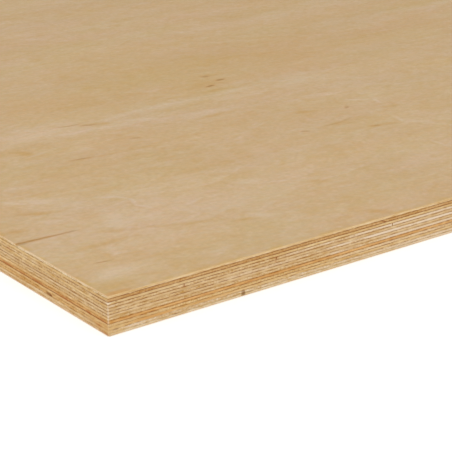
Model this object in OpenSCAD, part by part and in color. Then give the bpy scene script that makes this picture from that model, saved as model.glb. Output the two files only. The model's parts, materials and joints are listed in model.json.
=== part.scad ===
// Plywood sheet: thin birch veneers, laid crosswise in turn and pressed into one flat board.
// Millimetres. The origin is at the middle of the underside, +X runs along the grain of
// the face, +Y runs across it and +Z is up. Veneers are counted from the face down.

/* [Sheet] */
// Length of the sheet, along the grain of its face
sheet_l = 2440; // [600:10:3000]
// Width of the sheet, across the grain of its face
sheet_w = 1220; // [300:10:1525]

/* [Veneers] */
// How many veneers are pressed together, an odd number so that the sheet stays flat
veneer_count = 13; // [3:2:21]
// Thickness of the face and back veneers, after sanding
outer_t = 1.3; // [0.8:0.05:3]
// Thickness of each veneer between the face and the back
inner_t = 1.4; // [0.8:0.05:3.2]

/* [Edges] */
// Width of the small flat that eases the arrises round the face and the back
arris_break = 0.3; // [0.1:0.05:0.6]
// Width of the small flat that breaks the four upright corners
corner_break = 0.4; // [0.1:0.05:2]

/* [Hidden] */
sheet_t = 2 * outer_t + (veneer_count - 2) * inner_t;
face_colour = "#c8ab84";
long_colour = "#bd9d74";
cross_colour = "#ab8c66";

function is_cross(n) = n % 2 == 0;
function two_digits(n) = str(n < 10 ? "0" : "", n);
function inner_name(n) = str(is_cross(n) ? "cross_veneer_" : "long_veneer_", two_digits(n));
function inner_base(n) = outer_t + (veneer_count - 1 - n) * inner_t;

INNER_NAMES = [for (n = [2 : veneer_count - 1]) inner_name(n)];

// Outline that the saw gives every veneer, with the upright corners broken
module sheet_outline() {
    half_l = sheet_l / 2;
    half_w = sheet_w / 2;
    polygon([
        [-half_l + corner_break, -half_w], [half_l - corner_break, -half_w],
        [half_l, -half_w + corner_break], [half_l, half_w - corner_break],
        [half_l - corner_break, half_w], [-half_l + corner_break, half_w],
        [-half_l, half_w - corner_break], [-half_l, -half_w + corner_break]
    ]);
}

// Section through an outer veneer, its two outward arrises eased
module eased_section(width) {
    half = width / 2;
    polygon([
        [-half, 0], [half, 0],
        [half, outer_t - arris_break], [half - arris_break, outer_t],
        [-half + arris_break, outer_t], [-half, outer_t - arris_break]
    ]);
}

// Outer veneer with its sanded side up, eased along all four edges
module outer_veneer() {
    intersection() {
        linear_extrude(outer_t) sheet_outline();
        rotate([90, 0, 0]) linear_extrude(sheet_w, center = true) eased_section(sheet_l);
        rotate([90, 0, 90]) linear_extrude(sheet_l, center = true) eased_section(sheet_w);
    }
}

// Face: grain along the sheet, sanded side up
module face_veneer() {
    color(face_colour) translate([0, 0, sheet_t - outer_t]) outer_veneer();
}

// Inner veneer: even ones have their grain across the sheet, odd ones along it
module inner_veneer(n) {
    color(is_cross(n) ? cross_colour : long_colour)
        translate([0, 0, inner_base(n)]) linear_extrude(inner_t) sheet_outline();
}

// Back: grain along the sheet like the face, sanded side down
module back_veneer() {
    color(face_colour) translate([0, 0, outer_t]) mirror([0, 0, 1]) outer_veneer();
}

face_veneer();
for (n = [2 : veneer_count - 1])
    inner_veneer(n);
back_veneer();
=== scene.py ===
# %% [markdown]
# # A plywood sheet
#
# Plywood is made of thin veneers, peeled from a birch log like paper from a roll, laid with
# their grain crosswise in turn and pressed with glue. This lesson dresses the plain stack of
# thirteen plates that the frame holds: it models the sanded and sawn veneers again, with their
# eased arrises, glue grooves, open joints and a split, and gives them bare birch finishes.

# %% Load the frame
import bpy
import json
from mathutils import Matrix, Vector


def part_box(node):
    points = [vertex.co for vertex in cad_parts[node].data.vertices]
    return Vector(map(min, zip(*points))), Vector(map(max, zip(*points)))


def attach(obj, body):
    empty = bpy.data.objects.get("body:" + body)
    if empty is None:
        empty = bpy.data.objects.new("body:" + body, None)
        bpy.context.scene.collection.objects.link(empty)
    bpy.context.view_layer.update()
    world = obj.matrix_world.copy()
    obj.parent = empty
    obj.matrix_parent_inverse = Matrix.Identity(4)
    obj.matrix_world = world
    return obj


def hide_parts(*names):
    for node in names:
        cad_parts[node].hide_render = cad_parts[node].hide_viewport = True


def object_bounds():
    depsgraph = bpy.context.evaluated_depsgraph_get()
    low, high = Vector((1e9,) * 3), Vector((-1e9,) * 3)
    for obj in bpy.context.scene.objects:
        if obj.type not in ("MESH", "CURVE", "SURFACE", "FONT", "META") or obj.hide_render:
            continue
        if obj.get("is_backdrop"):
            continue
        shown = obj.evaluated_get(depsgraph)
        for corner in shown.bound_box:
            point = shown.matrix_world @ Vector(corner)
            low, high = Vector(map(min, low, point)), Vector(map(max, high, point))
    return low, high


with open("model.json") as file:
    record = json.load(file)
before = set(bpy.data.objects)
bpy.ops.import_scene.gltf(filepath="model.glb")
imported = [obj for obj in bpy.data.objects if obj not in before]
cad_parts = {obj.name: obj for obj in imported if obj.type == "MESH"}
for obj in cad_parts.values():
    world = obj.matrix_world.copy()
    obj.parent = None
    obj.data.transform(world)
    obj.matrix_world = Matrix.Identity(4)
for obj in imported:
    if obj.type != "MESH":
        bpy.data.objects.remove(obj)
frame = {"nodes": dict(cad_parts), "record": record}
print(f"{len(frame['nodes'])} nodes in the frame")

# %% [markdown]
# The sizes of the sheet and of its veneers could be typed in again, but they are read from the
# frame, so that nothing has to be fitted afterwards. The frame's box is kept. The veneers are
# sorted by height, so number 1 is the face and the last one is the back. Places on the sheet are
# written in millimetres from one corner, the one that the camera looks at.

# %% Measure the sheet
import json
import math
import random

import bmesh
import bpy
from mathutils import Vector

MM = 0.001
cad_low, cad_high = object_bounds()
SHEET = (cad_high - cad_low) / MM
CORNER = Vector((cad_low.x, cad_low.y, 0))
node_names = sorted(frame["nodes"], key=lambda name: -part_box(name)[0].z)
slot_of = {part["node"]: part["material_slot"] for part in frame["record"]["subparts"]}


def thickness(name):
    low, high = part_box(name)
    return (high.z - low.z) / MM


OUTER_T = thickness(node_names[0])
INNER_T = thickness(node_names[1])
print(f"{len(node_names)} veneers, {SHEET.z:.1f} mm in all, inner ones {INNER_T:.2f} mm")

# %% [markdown]
# The camera looks down on one corner of the sheet with a long lens. Its place was worked out
# from the directions of the two edges and of the glue lines in the photograph: lines that are
# parallel on the sheet meet at two vanishing points, and the distance between those gives the
# focal length. It could also be placed by eye, but the glue lines are three pixels apart, so a
# measured camera saves many trials.

# %% Set up the camera
PHOTO_PX = 452
FOCAL_PX = 1625
SENSOR_WIDTH = 36
CAMERA_FROM_CORNER = Vector((-329.6, -512.2, 279.8)) * MM
# degrees below the level, and degrees from the length of the sheet
CAMERA_DOWN = 20.838
CAMERA_HEADING = 52.702

camera_data = bpy.data.cameras.new("photo_camera")
camera_data.sensor_width = SENSOR_WIDTH
camera_data.lens = SENSOR_WIDTH * FOCAL_PX / PHOTO_PX
camera = bpy.data.objects.new("photo_camera", camera_data)
bpy.context.scene.collection.objects.link(camera)
camera.location = CORNER + CAMERA_FROM_CORNER
camera.rotation_euler = (math.radians(90 - CAMERA_DOWN), 0, math.radians(CAMERA_HEADING - 90))
bpy.context.scene.camera = camera
bpy.context.scene.view_settings.view_transform = "Standard"
print(f"lens {camera_data.lens:.1f} mm")

# %% [markdown]
# Finishes are built from shader nodes. Each node could be added, set and linked by lines of its
# own, as by hand in the shader editor, but a finish with hundreds of nodes would then be hard
# to follow. Short helpers do that work instead, so that a finish reads like a recipe. Colours
# are written as a painter's hex values and turned into the linear numbers of the shader.

# %% Helpers for shader nodes
def linear(hex_colour):
    """The linear red, green and blue of a hex colour, and a full alpha."""
    channels = [int(hex_colour[i:i + 2], 16) / 255 for i in (1, 3, 5)]
    return [c / 12.92 if c <= 0.04045 else ((c + 0.055) / 1.055) ** 2.4 for c in channels] + [1]


def node(tree, kind, inputs=None, **settings):
    """Adds a node with its settings, and sets its inputs or links them to other nodes."""
    made = tree.nodes.new("ShaderNode" + kind)
    for key, value in settings.items():
        setattr(made, key, value)
    for key, value in (inputs or {}).items():
        if isinstance(value, bpy.types.NodeSocket):
            tree.links.new(value, made.inputs[key])
        else:
            made.inputs[key].default_value = value
    return made


def calc(tree, operation, a, b=0.0, c=0.0):
    return node(tree, "Math", {0: a, 1: b, 2: c}, operation=operation).outputs[0]


def product(tree, value, *factors):
    for factor in factors:
        value = calc(tree, "MULTIPLY", value, factor)
    return value


def fade(tree, value, start, stop, low=0.0, high=1.0):
    """A soft step: low up to start, high from stop on."""
    inputs = {0: value, 1: start, 2: stop, 3: low, 4: high}
    return node(tree, "MapRange", inputs, interpolation_type="SMOOTHSTEP").outputs[0]


def blend(tree, factor, a, b):
    return node(tree, "Mix", {0: factor, 6: a, 7: b}, data_type="RGBA").outputs[2]


def tint(tree, colour, strength):
    """The colour made lighter or darker by a number close to one."""
    return node(tree, "VectorMath", {0: colour, "Scale": strength}, operation="SCALE").outputs[0]


def ramp(tree, value, stops, interpolation="LINEAR"):
    """Colours, or plain numbers, read off by a value between nothing and one."""
    made = node(tree, "ValToRGB", {0: value})
    made.color_ramp.interpolation = interpolation
    elements = made.color_ramp.elements
    while len(elements) < len(stops):
        elements.new(1)
    for element, (place, stop) in zip(elements, stops):
        element.position = place
        element.color = linear(stop) if isinstance(stop, str) else (stop, stop, stop, 1)
    return made.outputs[0]


print("helpers are ready")

# %% [markdown]
# A finish starts as Blender's all-round shader with a roughness and a gloss. Relief that is too
# fine to model, such as fibres, could be made by moving the mesh, but that would take millions
# of faces. Bump only bends the light, and costs next to nothing.

# %% Start a finish
def new_finish(name, roughness, gloss=0.5):
    finish = bpy.data.materials.new(name)
    finish.use_nodes = True
    shader = finish.node_tree.nodes["Principled BSDF"]
    shader.inputs["Roughness"].default_value = roughness
    shader.inputs["Specular IOR Level"].default_value = gloss
    return finish, finish.node_tree, shader


def rough_surface(tree, shader, height, strength, depth):
    """Bump with the given depth in millimetres."""
    inputs = {"Height": height, "Strength": strength, "Distance": depth * MM}
    tree.links.new(node(tree, "Bump", inputs).outputs[0], shader.inputs["Normal"])


print("finishes can be started")

# %% [markdown]
# The floor is a plain white table, and the light is as even as in a light tent. A single strong
# lamp would be simpler, but it would leave one of the two sawn edges dark. So a white sky gives
# most of the light, and one large soft lamp above the camera the rest: the edges and the face
# are about equally bright, and the shadow falls behind the sheet. The table glows a little, as
# a lit one does, so that it stays white right up to the sheet.

# %% Lay the floor and hang the lights
FLOOR_SIZE = 60
FLOOR_GAP = 0.2 * MM
FLOOR_ROUGHNESS = 0.9
FLOOR_GLOW = 0.24
TABLE_WHITE = "#fafafa"
LIGHT_WHITE = "#ffffff"
SKY_STRENGTH = 0.67
LAMP_POWER = 34
LAMP_SIZE = 2.2
LAMP_FROM_CORNER = Vector((-0.85, -1.15, 2.45))

bpy.ops.object.select_all(action="DESELECT")
bpy.ops.mesh.primitive_plane_add(size=FLOOR_SIZE, location=(0, 0, -FLOOR_GAP))
floor = bpy.context.object
floor.name = "table"
white, tree, shader = new_finish("white_table", FLOOR_ROUGHNESS)
shader.inputs["Base Color"].default_value = linear(TABLE_WHITE)
shader.inputs["Emission Color"].default_value = linear(LIGHT_WHITE)
shader.inputs["Emission Strength"].default_value = FLOOR_GLOW
floor.data.materials.append(white)
floor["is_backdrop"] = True

sky = bpy.data.worlds.new("light_tent")
sky.use_nodes = True
sky.node_tree.nodes["Background"].inputs["Color"].default_value = linear(LIGHT_WHITE)
sky.node_tree.nodes["Background"].inputs["Strength"].default_value = SKY_STRENGTH
bpy.context.scene.world = sky

lamp_data = bpy.data.lights.new("soft_lamp", "AREA")
lamp_data.energy = LAMP_POWER
lamp_data.size = LAMP_SIZE
lamp = bpy.data.objects.new("soft_lamp", lamp_data)
bpy.context.scene.collection.objects.link(lamp)
lamp.location = CORNER + LAMP_FROM_CORNER
lamp.rotation_euler = (-LAMP_FROM_CORNER).to_track_quat("-Z", "Y").to_euler()
print("floor, sky and lamp are in place")

# %% [markdown]
# All veneers start as the same plate. It could be an outline that is filled and extruded, but a
# cube that is stretched to the size of its node needs no points, and a bevel breaks its four
# upright corners. The plate is then cut by planes into cells of about 150 mm. Nothing shows of
# those cuts. They let each stretch of the thin sawn edge have its own row on the texture map
# later on, because one row along 2.4 m would leave the 1.4 mm edge with hardly a pixel.

# %% Model one plate
CORNER_BREAK = 0.4 * MM
CELLS_X = 16
CELLS_Y = round(CELLS_X * SHEET.y / SHEET.x)
CELL = SHEET.x * MM / CELLS_X
TOUCH = 0.01 * MM


def pick(piece, kind, test):
    """Selects the corners, edges or faces of a piece in edit mode that pass a test."""
    bpy.ops.mesh.select_mode(type=kind)
    bpy.ops.mesh.select_all(action="DESELECT")
    shape = bmesh.from_edit_mesh(piece.data)
    for item in {"VERT": shape.verts, "EDGE": shape.edges, "FACE": shape.faces}[kind]:
        if test(item):
            item.select_set(True)
    bmesh.update_edit_mesh(piece.data)


def edit(piece):
    bpy.ops.object.select_all(action="DESELECT")
    piece.select_set(True)
    bpy.context.view_layer.objects.active = piece
    bpy.ops.object.mode_set(mode="EDIT")


def done():
    bpy.ops.object.mode_set(mode="OBJECT")


def cut(point, normal):
    bpy.ops.mesh.bisect(plane_co=point, plane_no=normal, threshold=TOUCH)


def is_upright(edge):
    a, b = (v.co for v in edge.verts)
    return (a.xy - b.xy).length < TOUCH


def plate(name, low, high):
    """A plate between two corners, left in edit mode."""
    bpy.ops.object.select_all(action="DESELECT")
    bpy.ops.mesh.primitive_cube_add(size=1, location=(low + high) / 2, calc_uvs=False)
    piece = bpy.context.object
    piece.name = name
    piece.scale = high - low
    bpy.ops.object.transform_apply(location=True, rotation=True, scale=True)
    edit(piece)
    pick(piece, "EDGE", is_upright)
    bpy.ops.mesh.bevel(offset=CORNER_BREAK / math.sqrt(2), segments=1, affect="EDGES")
    return piece


def cut_cells():
    for i in range(1, CELLS_X):
        bpy.ops.mesh.select_all(action="SELECT")
        cut((cad_low.x + i * CELL, 0, 0), (1, 0, 0))
    for i in range(1, CELLS_Y):
        bpy.ops.mesh.select_all(action="SELECT")
        cut((0, cad_low.y + i * CELL, 0), (0, 1, 0))


print(f"{CELLS_X} by {CELLS_Y} cells of {CELL / MM:.1f} mm")

# %% [markdown]
# The face and the back are sanded, and sandpaper takes the sharpness off their arrises. A bevel
# modifier could ease all edges at once, but they need two kinds of bevel, so the level edges
# are picked by height and bevelled in edit mode. Two segments round the sanded arrises. Where a
# veneer meets its neighbour the bevel is much finer, and two of those make the shallow groove
# in which the glue line lies.

# %% Ease the arrises
ARRIS = 0.3 * MM
GLUE_GROOVE = 0.04 * MM


def piece_name(node_name):
    return ("sanded_" if slot_of[node_name] == "face_birch" else "sawn_") + node_name


def is_rim(*heights):
    """A test for level edges that lie at one of the given heights."""
    return lambda edge: any(all(abs(v.co.z - z) < TOUCH for v in edge.verts) for z in heights)


def ease(piece, heights, width, segments):
    pick(piece, "EDGE", is_rim(*heights))
    bpy.ops.mesh.bevel(offset=width, segments=segments, affect="EDGES")


def outer_veneer(node_name):
    low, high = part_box(node_name)
    piece = plate(piece_name(node_name), low, high)
    ease(piece, [high.z], ARRIS, segments=2)
    ease(piece, [low.z], GLUE_GROOVE, segments=1)
    cut_cells()
    done()
    return piece


def inner_veneer(node_name):
    low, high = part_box(node_name)
    piece = plate(piece_name(node_name), low, high)
    ease(piece, [low.z, high.z], GLUE_GROOVE, segments=1)
    cut_cells()
    done()
    return piece


face = outer_veneer(node_names[0])
first_inner = inner_veneer(node_names[1])
for piece in (face, first_inner):
    print(f"{piece.name} has {len(piece.data.polygons)} faces")

# %% [markdown]
# Each veneer could be modelled by itself, but the inner ones are alike, so one of them is
# copied down the stack, each copy with its own mesh. The back is the face turned over. Every
# veneer rides on the sheet's only body and stands for the plain node in whose place it lies.

# %% Stack the veneers
def copy_of(piece, name):
    bpy.ops.object.select_all(action="DESELECT")
    piece.select_set(True)
    bpy.context.view_layer.objects.active = piece
    bpy.ops.object.duplicate(linked=False)
    made = bpy.context.object
    made.name = name
    return made


def move_all(piece, step):
    edit(piece)
    bpy.ops.mesh.select_all(action="SELECT")
    bpy.ops.transform.translate(value=step)
    done()


def turn_over(piece):
    edit(piece)
    bpy.ops.mesh.select_all(action="SELECT")
    middle = (0, 0, SHEET.z * MM / 2)
    bpy.ops.transform.rotate(value=math.pi, orient_axis="X", center_override=middle)
    done()


inner = [first_inner]
for n, node_name in enumerate(node_names[2:-1], start=1):
    inner.append(copy_of(first_inner, piece_name(node_name)))
    move_all(inner[-1], (0, 0, -n * INNER_T * MM))
back = copy_of(face, piece_name(node_names[-1]))
turn_over(back)
veneers = [face, *inner, back]
for piece, node_name in zip(veneers, node_names):
    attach(piece, "root")
    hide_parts(node_name)
print(f"{len(veneers)} veneers stacked")

# %% [markdown]
# Inner veneers are pieced together from strips, and the strips don't always close up. Such an
# open joint runs right across the sheet and shows as a short dark slot on both edges where it
# comes out. It could be drawn as a dark mark, but a real slot is also there in the mesh. Each
# is made as one would by hand: two cuts across the edge, then the narrow face between them is
# extruded inwards. Cross veneers have their joints along the length of the sheet, long ones
# across its width. The joints near the corner are those of the photograph, and the others are
# drawn from a fixed seed.

# %% Open the joints
JOINT_WIDTH = 0.45
JOINT_DEPTH = 0.4
SEEN_JOINTS = {4: (38.4, 88.3, 157.3)}
SEEN_LENGTH = 260
END_MARGIN = 40
MOST_JOINTS = 4
SEED = 13
# the part of a normal that points one way, from which a face counts as facing that way
FACING = 0.9


def slot_in_edge(piece, axis, place):
    """Sinks a narrow slot into two edges of a veneer, at a place along X (0) or Y (1)."""
    across = 1 - axis
    middle = CORNER[axis] + place * MM
    half = JOINT_WIDTH * MM / 2
    along, inward = Vector((0, 0, 0)), Vector((0, 0, 0))
    along[axis] = 1
    edit(piece)
    for side in (-1, 1):
        for rim in (middle - half, middle + half):
            pick(piece, "FACE", lambda facet: facet.normal[across] * side > FACING)
            cut(along * rim, along)
        pick(piece, "FACE", lambda facet: facet.normal[across] * side > FACING
             and abs(facet.calc_center_median()[axis] - middle) < half)
        inward[across] = -side * JOINT_DEPTH * MM
        bpy.ops.mesh.extrude_region_move(TRANSFORM_OT_translate={"value": inward})
    done()


draw = random.Random(SEED)
joint_count = 0
for number, piece in enumerate(inner, start=2):
    axis = number % 2
    farthest = SHEET[axis] - END_MARGIN
    spread = [draw.uniform(SEEN_LENGTH, farthest) for _ in range(draw.randint(1, MOST_JOINTS))]
    for place in (*SEEN_JOINTS.get(number, ()), *spread):
        slot_in_edge(piece, axis, place)
        joint_count += 1
print(f"{joint_count} open joints")

# %% [markdown]
# The face has a split that starts at the end of the sheet and closes after 34 mm. A dark line
# could stand for it, but on the real sheet it also nicks the arris, so it is modelled. Three
# cuts from its tip mark the two rims and the bottom line, and they run on over the arris. The
# corners at the outer end of the bottom line are then pushed down.

# %% Split the face
SPLIT_MOUTH = Vector((0.0, 72.8))
SPLIT_TIP = Vector((34.0, 71.1))
SPLIT_WIDTH = 1.2
SPLIT_DEPTH = 0.25
# the share of the veneer's thickness in which faces are cut
CUT_SHARE = 0.9
ON_LINE = 0.1 * MM


def on_sheet(x, y):
    return CORNER + Vector((x, y, 0)) * MM


def split(piece):
    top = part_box(node_names[0])[1].z
    mouth, tip = on_sheet(*SPLIT_MOUTH), on_sheet(*SPLIT_TIP)

    def beside(facet, limit):
        """Whether a face lies along the split and before a limit on X."""
        middle = facet.calc_center_median()
        return middle.x < limit and abs(middle.y - tip.y) < CELL / 2

    edit(piece)
    pick(piece, "FACE", lambda facet: facet.normal.z > FACING and beside(facet, CORNER.x + CELL))
    cut(tip, (1, 0, 0))
    for offset in (-SPLIT_WIDTH / 2, 0, SPLIT_WIDTH / 2):
        start = on_sheet(SPLIT_MOUTH.x, SPLIT_MOUTH.y + offset)
        run = tip - start
        pick(piece, "FACE", lambda facet: beside(facet, tip.x)
             and facet.calc_center_median().z > top - OUTER_T * MM * CUT_SHARE)
        cut(start, (-run.y, run.x, 0))
    pick(piece, "VERT", lambda vert: vert.co.x < CORNER.x + 2 * ARRIS
         and abs(vert.co.y - mouth.y) < ON_LINE
         and vert.co.z > top - 2 * ARRIS)
    bpy.ops.transform.translate(value=(0, 0, -SPLIT_DEPTH * MM))
    done()


split(face)
print(f"split of {(SPLIT_TIP - SPLIT_MOUTH).length:.0f} mm in the face")

# %% [markdown]
# Patterns are placed in millimetres from the photographed corner. They could be painted on a
# picture, but a pattern made of nodes stays sharp at any distance. Wood varies at many scales,
# so most patterns are noise that is stretched along the grain, and noise can also push the
# coordinates aside, which makes a plain shape wander like a growth ring. A single mark, such as
# a fleck, is a round gradient stretched to the size of the mark.

# %% Patterns in millimetres
def from_corner(tree):
    """Millimetres from the photographed corner, in the sheet's own directions."""
    place = node(tree, "TexCoord").outputs["Object"]
    inputs = {"Vector": place, "Location": -CORNER / MM, "Scale": (1 / MM,) * 3}
    return node(tree, "Mapping", inputs, vector_type="POINT").outputs[0]


def stretch(tree, place, size):
    inverse = [1 / s for s in size]
    return node(tree, "VectorMath", {0: place, 1: inverse}, operation="MULTIPLY").outputs[0]


def noise(tree, place, size, detail=2.0, roughness=0.5):
    """Noise whose blotches have the given size in millimetres along X, Y and Z."""
    inputs = {"Vector": stretch(tree, place, size), "Scale": 1, "Detail": detail, "Roughness": roughness}
    return node(tree, "TexNoise", inputs).outputs["Fac"]


def add_swing(tree, value, gain, pattern):
    """The value, pushed to both sides by a pattern that lies around one half."""
    return calc(tree, "MULTIPLY_ADD", calc(tree, "SUBTRACT", pattern, 0.5), gain, value)


def add_noise(tree, value, place, gain, size, detail=2.0, roughness=0.5):
    """The value, pushed to both sides by noise."""
    return add_swing(tree, value, gain, noise(tree, place, size, detail, roughness))


def sway(tree, place, size, reach, start):
    """A start with three parts, each of them swayed to both sides by a noise of its own."""
    inputs = {"Vector": stretch(tree, place, size), "Scale": 1, "Detail": 2}
    push = node(tree, "TexNoise", inputs).outputs["Color"]
    push = node(tree, "VectorMath", {0: push, 1: (0.5, 0.5, 0.5)}, operation="SUBTRACT").outputs[0]
    inputs = {0: push, 1: reach, 2: start}
    return node(tree, "VectorMath", inputs, operation="MULTIPLY_ADD").outputs[0]


def wander(tree, place, size, reach):
    """The same place, pushed aside by noise."""
    return sway(tree, place, size, reach, place)


def spot(tree, place, middle, half_size, turn=(0, 0, 0)):
    """One in the middle of the spot, falling to nothing at its rim."""
    inputs = {
        "Vector": place,
        "Location": middle,
        "Rotation": [math.radians(angle) for angle in turn],
        "Scale": half_size,
    }
    local = node(tree, "Mapping", inputs, vector_type="TEXTURE").outputs[0]
    return node(tree, "TexGradient", {"Vector": local}, gradient_type="SPHERICAL").outputs["Fac"]


print("patterns are ready")

# %% [markdown]
# A peeled veneer is cut almost along the growth rings, so they don't show as stripes, as on a
# plank, but as pale wandering lines and, seen from afar, as long flames. A wave texture would
# be too even for both. Here a number that rises slowly over the sheet is bent by noise, and its
# fraction draws one line or flame after another. The flames stay faint near the photographed
# corner, where the figure is given one by one.

# %% Growth rings and flames
METRE = 1000
RING_STEP = 42.0
RING_BREAKS = (45, 25, 20)
FLAMES = 7.0
FLAME_SIZE = (900, 190, 40)
# strength and size of the blotches and, where it isn't plain, how detailed they are
RING_BENDS = (5.0, (150, 60, 20))
RING_RIPPLES = (0.5, (14, 8, 20))
FLAME_RIPPLES = (0.7, (260, 16, 30), 3)
FLAME_STREAKS = (1.2, (500, 12, 20), 3)
# metres from the corner where the flames start and are full, and both strengths
FLAME_RISE = (0.38, 0.65, 0.1, 1.0)


def ring_figure(tree, place):
    """Pale lines with a warm side, as growth rings give all over a peeled veneer."""
    y = node(tree, "SeparateXYZ", {0: place}).outputs["Y"]
    ring = calc(tree, "DIVIDE", y, RING_STEP)
    ring = add_noise(tree, ring, place, *RING_BENDS)
    ring = calc(tree, "FRACT", add_noise(tree, ring, place, *RING_RIPPLES))
    pale = calc(tree, "SUBTRACT", fade(tree, ring, 0.0, 0.05), fade(tree, ring, 0.05, 0.3))
    warm = fade(tree, ring, 0.6, 1.0, 0.0, -0.7)
    broken = fade(tree, noise(tree, place, RING_BREAKS), 0.42, 0.66)
    return product(tree, calc(tree, "ADD", pale, warm), broken)


def beyond_corner(tree, place, start, stop, low, high):
    """A soft step by the distance from the photographed corner in metres."""
    near = spot(tree, place, (0, 0, SHEET.z), (METRE, METRE, METRE))
    return fade(tree, calc(tree, "SUBTRACT", 1.0, near), start, stop, low, high)


def flame_figure(tree, place):
    """Long flames around nothing, as a knife gives that peels a bent log."""
    height = product(tree, noise(tree, place, FLAME_SIZE, detail=1), FLAMES)
    flame = calc(tree, "FRACT", add_noise(tree, height, place, *FLAME_RIPPLES))
    flame = calc(tree, "ADD", fade(tree, flame, 0.0, 0.8, 0.5, -0.5), fade(tree, flame, 0.88, 1.0))
    flame = add_noise(tree, flame, place, *FLAME_STREAKS)
    return product(tree, flame, beyond_corner(tree, place, *FLAME_RISE))


print(f"a ring every {RING_STEP:.0f} mm and flames of {FLAME_SIZE[0]} mm")

# %% [markdown]
# The figure near the corner follows the photograph. Noise alone could give wood of the same
# kind, but not with its pale and warm zones in these places. So each zone, and each of the
# clearest ring lines, is a spot with a place, a size and a turn, given one by one.

# %% Zones and lines given one by one
# x, y, half length, half width, turn in degrees, and how much paler or, below zero, warmer
ZONES = (
    (190, 195, 190, 30, 2, 0.10),
    (70, 66, 95, 50, 0, 0.33),
    (190, 80, 80, 42, 0, 0.10),
    (125, 145, 140, 30, 0, -0.06),
    (260, 270, 220, 70, 0, -0.26),
    (125, 240, 42, 15, 0, -0.15),
    (190, 232, 16, 8, 0, 0.16),
    (225, 48, 26, 12, 0, 0.16),
    (90, 206, 40, 19, 0, 0.40),
    (141, 205.5, 22, 4.5, 12, 0.38),
    (178, 208.3, 40, 5, -1, 0.36),
    (225, 208, 26, 5, 0, 0.30),
    (120, 194, 28, 5, -6, 0.36),
    (149.5, 192.5, 16, 4.5, -30, 0.36),
    (184, 183, 34, 6, -5, 0.45),
    (275, 205, 40, 12, -5, 0.20),
    (29, 119, 15, 9, -30, 0.42),
    (40, 111, 14, 7, -15, 0.32),
    (163, 163, 8, 3.5, 0, 0.30),
    (155, 134, 9, 3.5, 0, 0.30),
    (170, 131, 14, 3, 50, 0.24),
    (60, 166, 16, 5, 0, 0.28),
    (97, 170, 10, 8, 0, 0.28),
    (262, 169, 18, 6, 2, 0.30),
    (16, 21, 17, 12, 0, 0.50),
    (66, 13, 15, 6, 0, 0.36),
    (30, 87, 14, 6, 0, 0.26),
    (52, 73, 22, 8, 75, 0.36),
    (109, 36, 9, 5, -60, 0.38),
    (117, 24, 14, 4, 10, 0.24),
    (135, 76, 10, 6, -40, 0.40),
    (271, 95, 18, 5, -54, 0.40),
    (276, 115, 9, 4, -20, 0.22),
    (26, 101, 17, 3.4, -20, -0.65),
    (62, 194, 8, 4.5, 0, 0.30),
    (6, 86.5, 8, 2.8, -10, -0.45),
    (30, 50, 24, 3.5, 0, -0.40),
    (42, 61.5, 15, 2.6, -24, -0.45),
    (61, 54, 13, 2.4, -24, -0.40),
    (80, 47, 17, 2.6, -21, -0.50),
    (99, 36.3, 9, 3.2, -8, -0.55),
    (9, 7, 13, 4.5, 0, -0.30),
    (68, 181, 8.5, 3.5, -44, -0.70),
    (90, 155, 28, 2.2, -7, -0.32),
    (122, 152.3, 18, 2.4, -10, -0.32),
    (156, 154.3, 34, 2.2, 0, -0.28),
    (124.5, 201.8, 11, 3.2, -15, -0.55),
    (156, 148.3, 12, 3.2, 0, 0.20),
    (140, 107, 50, 3, 0, -0.18),
    (175, 199, 32, 5, 0, -0.30),
    (186, 175, 20, 3, -4, -0.32),
    (185, 217, 12, 3, 0, -0.28),
    (216, 215, 16, 4, -4, -0.55),
    (220, 229, 18, 6, 12, -0.40),
    (230, 244, 10, 4, 0, -0.25),
    (228.5, 151, 7, 3.5, -27, -0.45),
    (240, 150, 34, 10, 10, -0.22),
    (246, 107.3, 9, 3.4, -12, -0.32),
    (231, 123.8, 18, 2.8, 6, -0.30),
    (255, 105, 7, 3, -24, -0.40),
    (277, 129.5, 8, 3.5, -12, -0.50),
    (200, 92, 20, 4, 80, -0.24),
    (160, 57, 9, 3.5, -37, -0.42),
    (155, 7.6, 8, 4.5, -37, -0.60),
)
# x, y, half length, half width and turn in degrees
RING_LINES = (
    (26, 119.5, 9, 2.0, -49),
    (65, 99.9, 7, 1.8, -29),
    (71, 94.5, 6.5, 1.8, -57),
    (72, 86.4, 7.5, 1.8, 77),
    (72.5, 78.4, 6, 1.8, -64),
    (147, 67.9, 8, 2.0, -28),
    (249.8, 65, 8, 2.2, -86),
    (263, 110, 9, 2.4, 70),
    (269, 151, 9, 2.0, -35),
    (277, 142, 8, 2.0, 75),
)
LINE_STRENGTH = 0.5
ZONE_DEPTH = 8
print(f"{len(ZONES)} zones and {len(RING_LINES)} ring lines set by hand")

# %% [markdown]
# The face is bare birch with a quiet figure. Each pattern could be mixed in as a colour of its
# own, but that soon turns muddy. Instead one number, the tone, gathers them all: broad bands
# along the grain, clouds, patches, specks, rings, flames and what is set by hand. One ramp then
# turns the tone into colours, from a warm ochre to a pale pinkish beige.

# %% Tone of the face
FACE_TONES = ((0.0, "#c59d5f"), (0.5, "#caa97a"), (1.0, "#d1b592"))
MIDDLE_TONE = 0.5
# strength and size of the blotches and, where they aren't plain, detail and roughness
BANDS = (0.14, (600, 60, 20))
CLOUDS = (0.66, (34, 16, 12), 4, 0.65)
PATCHES = (1.02, (9, 7, 6), 3, 0.65)
SPECKS = (0.5, (3.0, 2.7, 3))
RING_GAIN = 0.16
FLAME_GAIN = 0.36
# size of the bends, and how far they reach
CLOUD_DRIFT = ((26, 11, 20), (26, 11, 0))
ZONE_WAVER = ((12, 6, 20), (8, 4, 0))
LINE_BEND = ((22, 14, 20), (5, 4, 0))


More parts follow.
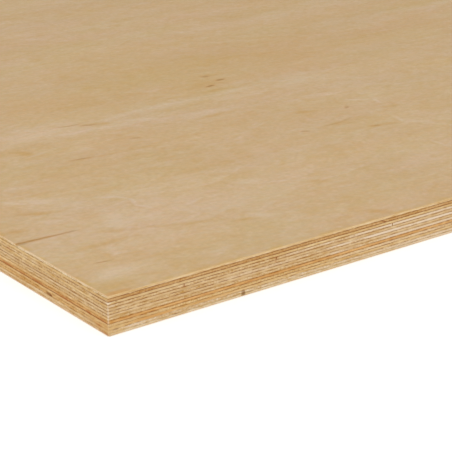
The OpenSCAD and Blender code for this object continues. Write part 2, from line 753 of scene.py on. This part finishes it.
def face_tone(tree, place):
    """Half for the middle tone of the wood, more where it is paler, less where it is warmer."""
    drifting = wander(tree, place, *CLOUD_DRIFT)
    tone = add_noise(tree, MIDDLE_TONE, place, *BANDS)
    tone = add_noise(tree, tone, drifting, *CLOUDS)
    tone = add_noise(tree, tone, drifting, *PATCHES)
    tone = add_noise(tree, tone, place, *SPECKS)
    tone = calc(tree, "MULTIPLY_ADD", ring_figure(tree, place), RING_GAIN, tone)
    tone = calc(tree, "MULTIPLY_ADD", flame_figure(tree, place), FLAME_GAIN, tone)
    wavering = wander(tree, place, *ZONE_WAVER)
    bending = wander(tree, place, *LINE_BEND)
    shapes = [(wavering, zone) for zone in ZONES]
    shapes += [(bending, (*line, LINE_STRENGTH)) for line in RING_LINES]
    for moved, (x, y, length, width, turn, paler) in shapes:
        glow = spot(tree, moved, (x, y, SHEET.z), (length, width, ZONE_DEPTH), (0, 0, turn))
        tone = calc(tree, "MULTIPLY_ADD", glow, paler, tone)
    return tone


print(f"the tone runs through {len(FACE_TONES)} colours")

# %% [markdown]
# Birch has small reddish flecks, where an insect has bored along under the bark. They could be
# pits in the mesh, but the sander has left them level with the rest, so they are only colour: a
# warm halo with a darker core. Those near the corner follow the photograph, and so does the
# long stain along the split, which is partly painted shade inside the split. A sparse pattern
# of cells scatters others over the rest of the sheet.

# %% Flecks in the face
FLECK_HALO = "#c68c48"
FLECK_CORE = "#9c7228"
FLECK_DEPTH = 4
# x, y, half length, half width, turn in degrees, and strength: the first is the split's stain and
# painted shade inside the split
FLECKS = (
    (2, 72.7, 38, 1.9, -2.8, 0.6),
    (120.6, 202.2, 8, 1.8, -16, 0.42),
    (111.5, 207.2, 11, 1.2, -8, 0.4),
    (229.5, 242.2, 5, 3.0, 0, 0.42),
    (232, 231.1, 5.5, 2.4, 0, 0.75),
    (219.8, 223.9, 5.5, 2.2, 10, 0.8),
    (87, 155.8, 9, 1.3, -9, 0.45),
    (227, 123.5, 12, 1.6, 3, 0.2),
    (240, 125.8, 10, 1.6, 16, 0.14),
    (207.6, 122.6, 5, 1.9, -25, 0.36),
    (254.5, 143, 3.5, 2.2, 40, 0.42),
    (244.5, 107.4, 5.5, 2.2, -12, 0.28),
    (128.5, 168, 5.5, 1.9, -22, 0.3),
    (19, 32.6, 7, 1.1, -8, 0.42),
)
FLECK_CELL = (110, 55, 40)
FLECK_REACH = 0.06
FLECK_CHOICE = 0.6
# metres from the corner where scattered flecks start and are full, and both strengths
FLECK_RISE = (0.42, 0.47, 0.0, 0.7)


def scattered_flecks(tree, place):
    """Flecks away from the corner, in some of the cells only: their shape and strength."""
    cells = node(tree, "TexVoronoi", {"Vector": stretch(tree, place, FLECK_CELL), "Scale": 1})
    chosen = calc(tree, "GREATER_THAN", cells.outputs["Color"], FLECK_CHOICE)
    mark = fade(tree, cells.outputs["Distance"], FLECK_REACH, 0.0)
    return mark, product(tree, chosen, beyond_corner(tree, place, *FLECK_RISE))


def add_fleck(tree, colour, mark, strength):
    halo = product(tree, fade(tree, mark, 0.0, 0.5, 0.0, 0.7), strength)
    core = product(tree, fade(tree, mark, 0.25, 0.8), strength)
    colour = blend(tree, halo, colour, linear(FLECK_HALO))
    return blend(tree, core, colour, linear(FLECK_CORE))


def add_flecks(tree, colour, place):
    for x, y, length, width, turn, strength in FLECKS:
        mark = spot(tree, place, (x, y, SHEET.z), (length, width, FLECK_DEPTH), (0, 0, turn))
        colour = add_fleck(tree, colour, mark, strength)
    return add_fleck(tree, colour, *scattered_flecks(tree, place))


print(f"{len(FLECKS)} flecks set by hand")

# %% [markdown]
# The finish of the face puts the tone and the flecks together and shades the inside of the
# split. Close to the arrises, where the sander dips, the wood has a yellow fringe and, at the
# corner, an orange tinge. Noise that only darkens would look like dust, so red, green and blue
# also sway apart, at a fine and at a broad scale. Last come the fibres, which show in the
# colour, the gloss and the bump.

# %% Sanded face
FRINGE = "#c9a050"
FRINGE_REACH = (3.6, 0.6)
FRINGE_BREAKS = (14, 14, 20)
TINGE = "#c9924e"
CORNER_TINGE = ((6, 1.4, SHEET.z), (11, 3.0, 6))
RAGGED = ((5, 1.2, 4), (3, 1.0, 0))
# size of the blotches, and how far red, green and blue sway
FINE_HUE = ((4, 3, 3), (0.10, 0.09, 0.12))
BROAD_HUE = ((70, 24, 20), (0.08, 0.10, 0.22))
MOTTLE = (0.2, (2.3, 2.2, 2))
FIBRES = ((7, 0.6, 4), 3)
FIBRE_GAIN = 0.1
FIBRE_BUMP = (0.2, 0.05)
FACE_ROUGHNESS = 0.6
ROUGHNESS_SWING = 0.06
MARK_RIM = (0.05, 0.7)
SPLIT_SHADE = "#725830"
# middle, half sizes, strength, colour and, where the mark is turned, its turn in degrees
SPLIT_MARKS = (
    ((25, 71.6, SHEET.z), (9.5, 1.3, 4), 0.2, SPLIT_SHADE, (0, 0, -2.8)),
    ((2.2, 71.2, SHEET.z), (3.5, 1.2, 4), 0.25, SPLIT_SHADE),
    ((18, 71.9, SHEET.z), (3.5, 1.2, 4), 0.07, SPLIT_SHADE),
    ((28.4, 71.9, SHEET.z), (3, 1.2, 4), 0.11, SPLIT_SHADE),
)


def edge_distances(tree, place):
    """Millimetres to the nearest end and to the nearest long edge of the sheet."""
    x, y, _ = node(tree, "SeparateXYZ", {0: place}).outputs
    to_end = calc(tree, "MINIMUM", x, calc(tree, "SUBTRACT", SHEET.x, x))
    to_side = calc(tree, "MINIMUM", y, calc(tree, "SUBTRACT", SHEET.y, y))
    return to_end, to_side


def add_marks(tree, colour, place, marks):
    """Spots of other colours with soft rims, given one by one."""
    for middle, half_size, strength, mark_colour, *turn in marks:
        mark = fade(tree, spot(tree, place, middle, half_size, *turn), *MARK_RIM, 0.0, strength)
        colour = blend(tree, mark, colour, linear(mark_colour))
    return colour


def add_fringe(tree, colour, place):
    near = fade(tree, calc(tree, "MINIMUM", *edge_distances(tree, place)), *FRINGE_REACH)
    broken = fade(tree, noise(tree, place, FRINGE_BREAKS), 0.46, 0.62, 0.0, 0.55)
    colour = blend(tree, product(tree, near, broken), colour, linear(FRINGE))
    tinge = fade(tree, spot(tree, place, *CORNER_TINGE), 0.1, 0.7, 0.0, 0.7)
    return blend(tree, tinge, colour, linear(TINGE))


def sanded_birch():
    finish, tree, shader = new_finish("sanded_birch", FACE_ROUGHNESS)
    place = from_corner(tree)
    colour = add_fringe(tree, ramp(tree, face_tone(tree, place), FACE_TONES), place)
    ragged = wander(tree, place, *RAGGED)
    colour = add_marks(tree, add_flecks(tree, colour, ragged), ragged, SPLIT_MARKS)
    hue = sway(tree, place, *FINE_HUE, (1, 1, 1))
    hue = sway(tree, place, *BROAD_HUE, hue)
    colour = node(tree, "VectorMath", {0: colour, 1: hue}, operation="MULTIPLY").outputs[0]
    fibres = noise(tree, place, *FIBRES)
    mottle = add_swing(tree, add_noise(tree, 1.0, place, *MOTTLE), FIBRE_GAIN, fibres)
    tree.links.new(tint(tree, colour, mottle), shader.inputs["Base Color"])
    smoothest, roughest = FACE_ROUGHNESS - ROUGHNESS_SWING, FACE_ROUGHNESS + ROUGHNESS_SWING
    tree.links.new(fade(tree, fibres, 0.3, 0.7, smoothest, roughest), shader.inputs["Roughness"])
    rough_surface(tree, shader, fibres, *FIBRE_BUMP)
    return finish


sanded = sanded_birch()
print(f"{len(sanded.node_tree.nodes)} nodes in the finish of the face")

# %% [markdown]
# A sawn edge shows each veneer in one of two ways. Where the grain runs along the edge the
# fibres lie in long streaks. Where the grain runs into the edge the fibres are cut across, so
# the surface is duller and full of pores, and in places chalky from sawdust. Each veneer also
# has its own tone, chalkiness and blush, which is how reddish it is in patches. Thirteen
# finishes could hold them, but they are read from ramps by height instead, so that one finish
# serves all veneers of its kind. The odd values of side grain and the even values of end grain
# show on the long edges, and the others on the ends.

# %% Tones of the sawn veneers
CREAM = "#d3ba91"
WHEAT = "#d4b98d"
OAT = "#cfb38a"
PALE = "#d3b280"
STRAW = "#d0ad76"
DUN = "#cba978"
TAN = "#c8a475"
HONEY = "#d0a96f"
GINGER = "#cba064"
AMBER = "#cc9b5c"
BROWN = "#be935c"
RUST = "#c59558"
SIDE_TONES = (PALE, STRAW, STRAW, STRAW, DUN, DUN, DUN, HONEY, AMBER, HONEY, STRAW, PALE, CREAM)
END_TONES = (WHEAT, BROWN, DUN, DUN, DUN, DUN, DUN, DUN, RUST, STRAW, GINGER, OAT, TAN)
SIDE_CHALK = (0, 0, 0.03, 0, 0.05, 0, 0.03, 0, 0.06, 0, 0.1, 0, 0.6)
END_CHALK = (0, 0, 0, 0.75, 0, 0.95, 0, 0.65, 0, 0.45, 0, 0.45, 0)
SIDE_BLUSH = (0, 0, 0, 0, 0, 0, 0, 0, 0.3, 0, 0, 0, 0)
END_BLUSH = (0, 0.1, 0, 0, 0, 0, 0, 0, 0.6, 0, 0.2, 0, 0)
# how much of a swing goes to red, green and blue
DEEPER = (0.6, 1.05, 1.95)


def by_veneer(tree, z, values):
    """The colour or number of the veneer at a height: the ramp's first stop is the back."""
    stops = [(0.0, values[-1])]
    for n, value in enumerate(reversed(values[:-1])):
        stops.append(((OUTER_T + n * INNER_T) / SHEET.z, value))
    return ramp(tree, calc(tree, "DIVIDE", z, SHEET.z), stops, "CONSTANT")


def deepen(tree, colour, swing):
    """The colour made darker and browner below zero, paler and greyer above it."""
    change = node(tree, "VectorMath", {0: DEEPER, "Scale": swing}, operation="SCALE").outputs[0]
    inputs = {0: change, 1: colour, 2: colour}
    return node(tree, "VectorMath", inputs, operation="MULTIPLY_ADD").outputs[0]


print(f"{len(SIDE_TONES)} tones for each kind of grain")

# %% [markdown]
# Between the veneers lie the glue lines: thin, reddish brown and in places hardly to be seen,
# but strong on both sides of the second veneer. They could be modelled as sheets of glue, but
# a tenth of a millimetre is thinner than any saw leaves clean, so they are drawn by height,
# each with the strength listed for the veneer above it.

# %% Glue lines
GLUE_COLOUR = "#84481a"
GLUE_WIDTH = 0.32
GLUE_CORE = 0.25 * GLUE_WIDTH
GLUE_MOST = 0.85
GLUE_WAVER = (0.3, (2.5, 2.5, 0.8))
GLUE_BREAKS = (3.4, (4, 4, 0.9), 4, 0.75)
LONG_EDGE_GLUE = (0.7, 0.85, 0.75, 0.65, 0.45, 0.6, 0.4, 0.6, 0.6, 0.6, 0.4, 0.35, 0)
END_GLUE = (0.5, 0.35, 0.5, 0.4, 0.75, 0.4, 0.45, 0.3, 1.0, 0.35, 0.4, 0.15, 0)


def to_glue(tree, z):
    """Millimetres to the nearest glue line."""
    step = calc(tree, "DIVIDE", calc(tree, "SUBTRACT", z, OUTER_T), INNER_T)
    return product(tree, calc(tree, "PINGPONG", step, 0.5), INNER_T)


def glue_lines(tree, place, z, away, on_long_edge):
    """How much glue shows: none inside a veneer, and thin and broken in places."""
    line = fade(tree, add_noise(tree, away, place, *GLUE_WAVER), GLUE_WIDTH, GLUE_CORE)
    from_middle = calc(tree, "ABSOLUTE", calc(tree, "SUBTRACT", z, SHEET.z / 2))
    inside = calc(tree, "LESS_THAN", from_middle, (SHEET.z - OUTER_T) / 2)
    above = calc(tree, "ADD", z, INNER_T / 2)
    on_end, on_side = (by_veneer(tree, above, listed) for listed in (END_GLUE, LONG_EDGE_GLUE))
    strength = blend(tree, on_long_edge, on_end, on_side)
    strength = add_noise(tree, strength, place, *GLUE_BREAKS)
    return product(tree, line, inside, fade(tree, strength, 0.0, 1.0, 0.0, GLUE_MOST))


print(f"{len(SIDE_TONES) - 1} glue lines")

# %% [markdown]
# Sawdust has stuck in the end grain in chalky patches, from a slanting line on. The broken
# upright corner is rubbed pale, and its paleness is also a painted highlight, the light that the
# broken corner catches. Both could be loose grains on the mesh, but they are finer than a pixel,
# so two patterns say how much of the chalk's colour shows.

# %% Sawdust, and rubbed corners with a painted highlight
CHALK = "#e2ceb4"
SECOND_LOW = SHEET.z - OUTER_T - INNER_T
CHALK_START = 112
CHALK_SLANT = 1.0
CHALK_RISE = 50
CHALK_BLUR = 5
DUST_PATCHES = (2.2, (22, 22, 1.3), 5, 0.7)
RUB_AND_HIGHLIGHT_REACH = (0.8, 0.25)
RUB_AND_HIGHLIGHT_PATCHES = (9, 9, 1.8)
# heights between which the rub and its painted highlight grow, and both strengths
RUB_AND_HIGHLIGHT_RISE = (5, 9, 0.3, 1.0)
# heights between which the rub and its painted highlight fade in, going down from the second veneer
RUB_AND_HIGHLIGHT_END = (SECOND_LOW + 0.4, SECOND_LOW - 1.0)


def sawdust(tree, place, x, z, away):
    """How chalky the end grain is: less on the glue lines, and only below the second veneer."""
    slanted = calc(tree, "MULTIPLY_ADD", z, CHALK_SLANT, x)
    start = CHALK_START + CHALK_SLANT * SECOND_LOW
    dust = fade(tree, slanted, start, start + CHALK_RISE, 0.46, 0.7)
    dust = fade(tree, add_noise(tree, dust, place, *DUST_PATCHES), 0.36, 0.7)
    past_line = fade(tree, slanted, start - CHALK_BLUR, start + CHALK_BLUR)
    off_glue = fade(tree, away, 0.0, 0.45, 0.2, 1.0)
    below = fade(tree, z, SECOND_LOW, SECOND_LOW - 0.1)
    return product(tree, dust, past_line, off_glue, below)


def corner_rub_and_highlight(tree, place, z, to_corner):
    """How much the broken upright corners are rubbed pale and painted with a highlight: most in their
    upper half.
    """
    rubbed = fade(tree, noise(tree, place, RUB_AND_HIGHLIGHT_PATCHES), 0.4, 0.6, 0.2, 0.75)
    near = fade(tree, to_corner, *RUB_AND_HIGHLIGHT_REACH)
    return product(tree, rubbed, fade(tree, z, *RUB_AND_HIGHLIGHT_RISE), fade(tree, z, *RUB_AND_HIGHLIGHT_END), near)


print(f"sawdust from {CHALK_START} mm on")

# %% [markdown]
# Noise could scatter marks over the edges, but not in the places where the photograph shows
# them, so these are listed: knots and reddish streaks, a dark pocket of resin, a slanting
# scarf where two strips of the second veneer overlap, paler and warmer stretches of single
# veneers, and the end of the split.

# %% Marks on the edges
KNOT = "#7c4a1c"
RESIN = "#80602c"
REDDISH = "#a85c22"
# middle, half sizes, strength, colour and, where the mark is turned, its turn in degrees
EDGE_MARKS = (
    ((3, 0, 2.4), (7, 2, 3.4), 0.55, STRAW),
    ((3, 0, 16.0), (7, 2, 0.9), 0.35, TAN),
    ((30, 0, 14.6), (60, 2, 0.9), 0.35, CREAM),
    ((101, 0, 13.2), (15, 2, 0.9), 0.35, CHALK),
    ((18, 0, 8.3), (30, 2, 0.45), 0.3, DUN),
    ((12, 0, 4.8), (30, 2, 0.9), 0.4, TAN),
    ((52, 0, 3.4), (24, 2, 0.9), 0.5, AMBER),
    ((3.6, 0, 2.5), (2.4, 2, 0.6), 0.5, KNOT),
    ((23, 0, 3.4), (18, 2, 0.95), 1.0, AMBER),
    ((12, 0, 2.0), (6, 2, 0.9), 0.4, CHALK),
    ((80, 0, 10.4), (45, 2, 0.9), 0.3, CHALK),
    ((0.4, 0.3, 14.7), (1.8, 1.8, 0.7), 0.75, CHALK),
    ((2.0, 0, 13.3), (3.0, 2, 0.7), 0.4, CHALK),
    ((4.2, 0, 14.9), (1.0, 2, 0.5), 0.4, KNOT),
    ((38.6, 0, 13.0), (1.1, 2, 1.0), 0.3, REDDISH),
    ((88.3, 0, 13.4), (1.8, 2, 0.9), 0.4, REDDISH),
    ((88.0, 0, 11.9), (0.8, 2, 0.7), 0.35, REDDISH),
    ((70, 0, 0.9), (1.8, 2, 1.8), 0.7, RESIN),
    ((70, 0, 1.9), (1.5, 2, 2.0), 0.45, KNOT),
    ((151.8, 0, 16.0), (3.4, 2, 0.45), 0.75, GLUE_COLOUR, (0, 22, 0)),
    ((100.3, 0, 15.2), (0.5, 2, 1.6), 0.35, KNOT),
    ((0, 4.0, 2.4), (2, 9.0, 2.6), 0.4, GINGER),
    ((0, 15.0, 2.6), (2, 8.0, 1.8), 0.35, OAT),
    ((0, 46.2, 3.3), (2, 3.8, 1.0), 0.75, KNOT),
    ((0, 44.8, 3.1), (2, 1.4, 0.7), 0.9, KNOT),
    ((0, 7.5, 2.7), (2, 4.0, 0.7), 0.5, REDDISH),
    ((0, 3.0, 0.7), (2, 6.0, 0.9), 0.4, REDDISH),
    ((0, 4.5, 5.7), (2, 5.0, 0.8), 0.4, REDDISH),
    ((0, 15.0, 6.0), (2, 3.0, 0.8), 0.6, REDDISH),
    ((0, 33.0, 5.6), (2, 9.0, 0.7), 0.5, REDDISH),
    ((0, 55.5, 6.1), (2, 7.0, 0.8), 0.6, REDDISH),
    ((0, 69.0, 5.7), (2, 5.0, 0.7), 0.5, REDDISH),
    ((0, 82.0, 6.0), (2, 7.0, 0.8), 0.6, REDDISH),
    ((0, 8.0, 15.3), (2, 14.0, 0.4), 0.7, GLUE_COLOUR),
    ((0, 26.0, 15.3), (2, 9.0, 0.4), 0.6, GLUE_COLOUR),
    ((0, 4.0, 13.9), (2, 7.0, 0.4), 0.5, GLUE_COLOUR),
    ((0, 4.0, 9.7), (2, 7.0, 0.4), 0.5, GLUE_COLOUR),
    ((0, 87.0, 13.2), (2, 1.6, 0.6), 0.6, KNOT),
    ((0, 79.5, 14.0), (2, 2.4, 0.6), 0.6, REDDISH),
    ((0, 72.2, 17.4), (2, 1.6, 1.4), 0.3, RESIN),
)
print(f"{len(EDGE_MARKS)} marks on the edges")

# %% [markdown]
# The finish of a sawn edge starts from the tone of the veneer and deepens it by grain: noise
# stretched along the edge for side grain, and noise as fine as pores for end grain. The two
# could be one finish that switches, but each veneer shows only one kind on each edge, so two
# simple ones are easier to follow. Blush, glue, dust and marks go over the grain.

# %% Sawn edges
SAWN_GLOSS = 0.2
SAWN_BUMP = (0.4, 0.1)
# distances from the glue between which the wood brightens, and both swings
GLUE_SHADE = (0.1, 0.55, -0.05, 0.03)
EDGE_DRIFT = (0.8, (25, 25, 1.1))
EDGE_BLOTCHES = (1.1, (5, 5, 0.9), 3, 0.6)
GRAIN_DETAIL = (3, 0.6)
SIDE_STREAKS = ((0.6, (30, 30, 0.5)), (0.6, (3.0, 3.0, 0.5)))
END_PORES = ((0.8, (0.8, 0.8, 1.6)), (0.9, (1.2, 1.2, 0.6)))
BLUSH_PATCHES = ((9, 9, 1.1), 4, 0.65)


def sawn_birch(name, tones, grains, chalk, blush, roughness):
    finish, tree, shader = new_finish(name, roughness, SAWN_GLOSS)
    place = from_corner(tree)
    x, _, z = node(tree, "SeparateXYZ", {0: place}).outputs
    to_end, to_side = edge_distances(tree, place)
    on_long_edge = calc(tree, "LESS_THAN", to_side, to_end)
    away = to_glue(tree, z)
    swing = add_noise(tree, fade(tree, away, *GLUE_SHADE), place, *EDGE_DRIFT)
    swing = add_noise(tree, swing, place, *EDGE_BLOTCHES)
    for gain, size in grains:
        grain = noise(tree, place, size, *GRAIN_DETAIL)
        swing = add_swing(tree, swing, gain, grain)
    colour = deepen(tree, by_veneer(tree, z, tones), swing)
    red = fade(tree, noise(tree, place, *BLUSH_PATCHES), 0.5, 0.72)
    colour = blend(tree, product(tree, red, by_veneer(tree, z, blush)), colour, linear(REDDISH))
    colour = blend(tree, glue_lines(tree, place, z, away, on_long_edge), colour, linear(GLUE_COLOUR))
    dust = product(tree, sawdust(tree, place, x, z, away), by_veneer(tree, z, chalk))
    # painted highlight: the broken upright corners get the chalk's colour, partly as wear and partly as
    # the light they catch
    rub_and_highlight = corner_rub_and_highlight(tree, place, z, calc(tree, "MAXIMUM", to_end, to_side))
    colour = blend(tree, calc(tree, "MAXIMUM", dust, rub_and_highlight), colour, linear(CHALK))
    colour = add_marks(tree, colour, place, EDGE_MARKS)
    tree.links.new(colour, shader.inputs["Base Color"])
    rough_surface(tree, shader, grain, *SAWN_BUMP)
    return finish


side_grain = sawn_birch("side_grain", SIDE_TONES, SIDE_STREAKS, SIDE_CHALK, SIDE_BLUSH, 0.65)
end_grain = sawn_birch("end_grain", END_TONES, END_PORES, END_CHALK, END_BLUSH, 0.8)
print(f"{len(end_grain.node_tree.nodes)} nodes in the finish of each kind of grain")

# %% [markdown]
# Sandpaper leaves the arrises paler than the wood beside them: fuzzy and pinkish at the ends,
# where it breaks the cut fibres, and more yellow along the sides. Their paleness is also a
# painted highlight, the light that an eased arris catches. The stain of the split shows where
# the split nicks the arris. The sides of a veneer that lie in the stack are never seen, and get
# a plain finish with the stain of the glue. The open joints are painted darker inside, as
# painted shade in the slots. Each could have a recipe of its own, but one short recipe with two
# colours serves them all.

# %% Small finishes
SPLIT_NICK = ((0, 72.8, SHEET.z), (2, 2.9, 2), 0.9, "#c79550")


def mottled(name, roughness, size, dark, light, marks=()):
    finish, tree, shader = new_finish(name, roughness, SAWN_GLOSS)
    place = from_corner(tree)
    tone = noise(tree, place, size, *GRAIN_DETAIL)
    colour = ramp(tree, tone, ((0.3, dark), (0.7, light)))
    colour = add_marks(tree, colour, place, marks)
    tree.links.new(colour, shader.inputs["Base Color"])
    return finish


# painted highlight: both arris finishes are paler than the wood, partly from sanding and partly as the
# light an eased arris catches
end_arris = mottled("end_arris", 0.7, (12, 12, 4), "#d8b086", "#eaccaa", [SPLIT_NICK])
side_arris = mottled("side_arris", 0.65, (16, 16, 4), "#d0ab75", "#e2c494")
glued = mottled("glued_birch", 0.7, (60, 60, 20), "#b08a58", "#bc9866")
# painted shade: the inside of an open joint is coloured darker than the wood around it
joint_inside = mottled("joint_inside", 0.9, (2, 2, 1), "#bc864c", "#cc985c")
print("arrises, glued sides and joints have finishes")

# %% [markdown]
# The finishes could be put on by hand, face by face, but there are thousands of faces. They go
# on by the way each face looks and by how far it lies from the edge: flat sides are sanded or
# glued, a face that is sunk into the edge and square to the sheet belongs to a joint, and the
# rest is arris or sawn edge.

# %% Put the finishes on
FINISHES = (glued, sanded, side_grain, end_grain, side_arris, end_arris, joint_inside)
FLAT = 0.8
SLOPING = 0.2
SUNK = JOINT_DEPTH * MM / 4


def inset(point):
    """How far a point lies inside the outline of the sheet."""
    return min(point.x - cad_low.x, cad_high.x - point.x, point.y - cad_low.y, cad_high.y - point.y)


def finish_for(side, number):
    normal = side.normal
    outside = {1: 1, len(veneers): -1}.get(number, 0)
    faces_long_edge = abs(normal.y) > abs(normal.x)
    if abs(normal.z) > FLAT:
        return sanded if normal.z * outside > 0 else glued
    if normal.z * outside > SLOPING:
        return side_arris if faces_long_edge else end_arris
    if inset(side.center) > SUNK and max(abs(normal.x), abs(normal.y)) > FACING:
        return joint_inside
    return side_grain if faces_long_edge == (number % 2 == 1) else end_grain


for number, piece in enumerate(veneers, start=1):
    for finish in FINISHES:
        piece.data.materials.append(finish)
    for side in piece.data.polygons:
        side.material_index = FINISHES.index(finish_for(side, number))
print(f"{len(FINISHES)} finishes are on")

# %% [markdown]
# The renderer draws the finishes, but a game or a web page needs them as a picture for each
# veneer. An automatic unwrap gives all faces the same scale, so the sawn edge, 1.4 mm high on a
# sheet of 2.4 m, would get less than a pixel. The map is laid out from given parts instead: the
# edge of each cell fills a row of its own, the flat sides that are glued share a small part, and
# on the face the photographed corner gets most of the room.

# %% Places on a texture map
ROW_COUNT = 2 * (CELLS_X + CELLS_Y)
ROW_FILL = 0.8
CORNER_CELLS = 3
# parts of a map: left, bottom, width and height
INNER_EDGE = (0.01, 0.13, 0.98, 0.865)
INNER_SIDES = {True: (0.005, 0.005, 0.49, 0.11), False: (0.505, 0.005, 0.49, 0.11)}
OUTER_EDGE = (0.01, 0.73, 0.98, 0.265)
OUTER_GLUED = (0.005, 0.67, 0.99, 0.05)
BACK_SANDED = (0.005, 0.005, 0.99, 0.65)
FACE_CORNER = (0.005, 0.005, 0.59, 0.65)
FACE_REST = (0.61, 0.005, 0.385, 0.65)


def within(area, u, v):
    left, bottom, width, height = area
    return left + u * width, bottom + v * height


def cell_at(middle):
    from_low = (middle - cad_low) / CELL
    return min(int(from_low.x), CELLS_X - 1), min(int(from_low.y), CELLS_Y - 1)


def edge_on_map(point, middle, low, high, area):
    """A point of a sawn edge: to the right along its cell, and upwards in the row of the cell."""
    column, line = cell_at(middle)
    from_low = (point - cad_low) / CELL
    to_end = min(middle.x - cad_low.x, cad_high.x - middle.x)
    to_side = min(middle.y - cad_low.y, cad_high.y - middle.y)
    if to_side <= to_end:
        row, along = column + CELLS_X * (middle.y > 0), from_low.x - column
    else:
        row, along = 2 * CELLS_X + line + CELLS_Y * (middle.x > 0), from_low.y - line
    up = 0.5 + ROW_FILL * ((point.z - low) / (high - low) - 0.5)
    return within(area, along, (row + up) / ROW_COUNT)


def flat_on_map(point, middle, faces_up, number):
    """A point of a flat side, by its share of the length and the width of the sheet."""
    from_low = (point - cad_low) / CELL
    x, y = from_low.x / CELLS_X, from_low.y / CELLS_Y
    if number == 1 and faces_up:
        if max(cell_at(middle)) < CORNER_CELLS:
            return within(FACE_CORNER, from_low.x / CORNER_CELLS, from_low.y / CORNER_CELLS)
        return within(FACE_REST, y, x)
    if number == len(veneers) and not faces_up:
        return within(BACK_SANDED, x, y)
    if number in (1, len(veneers)):
        return within(OUTER_GLUED, x, y)
    return within(INNER_SIDES[faces_up], x, y)


print(f"{ROW_COUNT} rows of edge on each map")

# %% [markdown]
# The map is written corner by corner.

# %% Lay out the texture maps
MAP_NAME = "OFBake"

for number, (piece, node_name) in enumerate(zip(veneers, node_names), start=1):
    low, high = (corner.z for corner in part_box(node_name))
    edge_area = OUTER_EDGE if number in (1, len(veneers)) else INNER_EDGE
    texture_map = piece.data.uv_layers.new(name=MAP_NAME)
    for side in piece.data.polygons:
        for corner in side.loop_indices:
            point = piece.data.vertices[piece.data.loops[corner].vertex_index].co
            if abs(side.normal.z) > FACING:
                uv = flat_on_map(point, side.center, side.normal.z > 0, number)
            else:
                uv = edge_on_map(point, side.center, low, high, edge_area)
            texture_map.data[corner].uv = uv
print(f"{len(veneers)} texture maps laid out")

# %% [markdown]
# Last, the finished model's box is measured.

# %% Measure the finished box
low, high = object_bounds()
